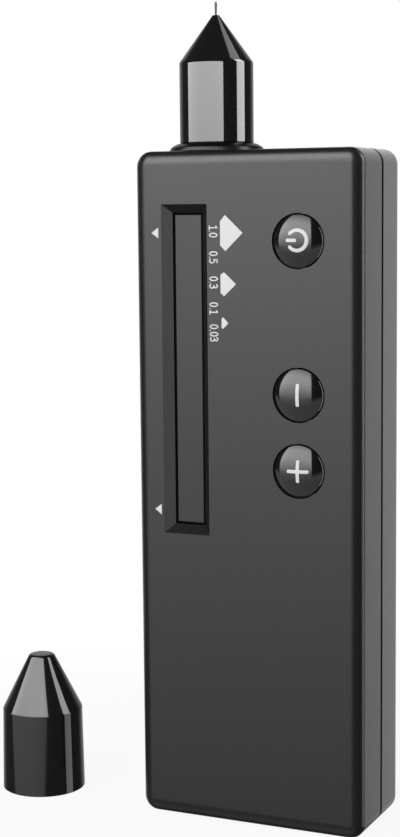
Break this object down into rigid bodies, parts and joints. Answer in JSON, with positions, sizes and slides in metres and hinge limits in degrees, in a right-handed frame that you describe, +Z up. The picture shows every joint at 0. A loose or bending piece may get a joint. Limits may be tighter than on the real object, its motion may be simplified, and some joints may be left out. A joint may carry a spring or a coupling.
{
  "type": "diamond tester",
  "caption": "Hand-held gem tester: upright grey case with a light-scale window, domed buttons, a black nose with a sprung metal probe, and the nose's cap beside it.",
  "frame": {"origin": "middle of the case's base, on the surface it stands on", "axes": "+X across the case to the right as seen from the front, +Y from the front to the back, +Z up towards the probe"},
  "size_m": [0.082, 0.0252, 0.1609],
  "materials": {
    "case_plastic": "fine satin grain",
    "button_black": "polished",
    "nose_black": "polished",
    "cap_black": "polished",
    "lens_grey": "smoked, satin",
    "guide_white": "matt",
    "led_green": "moulded",
    "led_amber": "moulded",
    "led_red": "moulded",
    "board_green": "lacquered",
    "steel": "plated",
    "plunger_cream": "matt",
    "inner_black": "matt",
    "parts_tan": "matt",
    "battery_foil": "foil",
    "pad_foam": "foam",
    "lead_red": "insulation",
    "lead_yellow": "insulation",
    "plug_cream": "matt",
    "needle_copper": "drawn copper alloy",
    "heater_brown": "resin",
    "thermistor_blue": "resin"
  },
  "bodies": {
    "case": {"front_shell": "case_plastic", "rear_shell": "case_plastic", "nose_collar": "nose_black", "nose_barrel": "nose_black", "window_lens": "lens_grey", "light_guide": "guide_white", "probe_sleeve": "guide_white", "green_leds": "led_green", "amber_leds": "led_amber", "red_leds": "led_red", "main_board": "board_green", "case_screws": "steel", "board_screws": "steel", "charging_socket": "steel", "probe_spring": "steel", "switch_bodies": "inner_black", "control_chip": "inner_black", "buzzer": "inner_black", "socket_tongue": "inner_black", "board_parts": "parts_tan", "battery": "battery_foil", "battery_pad": "pad_foam", "battery_leads": "lead_red", "probe_leads": "lead_yellow", "battery_plug": "plug_cream", "probe_plug": "plug_cream", "probe_carrier": "plug_cream"},
    "power": {"power_button": "button_black", "power_plunger": "plunger_cream"},
    "minus": {"minus_button": "button_black", "minus_plunger": "plunger_cream"},
    "plus": {"plus_button": "button_black", "plus_plunger": "plunger_cream"},
    "needle": {"probe_needle": "needle_copper", "probe_heater": "heater_brown", "thermistor": "thermistor_blue"},
    "cap": {"probe_cap": "cap_black"}
  },
  "joints": [
    {"name": "power_press", "type": "slide", "parent": "case", "child": "power", "axis": [0, 1, 0], "range_m": [0, 0.0005], "stiffness_N_per_m": 1500, "springref_m": -0.0004},
    {"name": "minus_press", "type": "slide", "parent": "case", "child": "minus", "axis": [0, 1, 0], "range_m": [0, 0.0005], "stiffness_N_per_m": 1500, "springref_m": -0.0004},
    {"name": "plus_press", "type": "slide", "parent": "case", "child": "plus", "axis": [0, 1, 0], "range_m": [0, 0.0005], "stiffness_N_per_m": 1500, "springref_m": -0.0004},
    {"name": "needle_press", "type": "slide", "parent": "case", "child": "needle", "axis": [0, 0, -1], "range_m": [0, 0.001], "stiffness_N_per_m": 400, "springref_m": -0.0015, "deforming": ["probe_spring"]},
    {"name": "cap_lift", "type": "slide", "parent": "case", "child": "cap", "axis": [0, 0, 1], "range_m": [0, 0.05]}
  ]
}
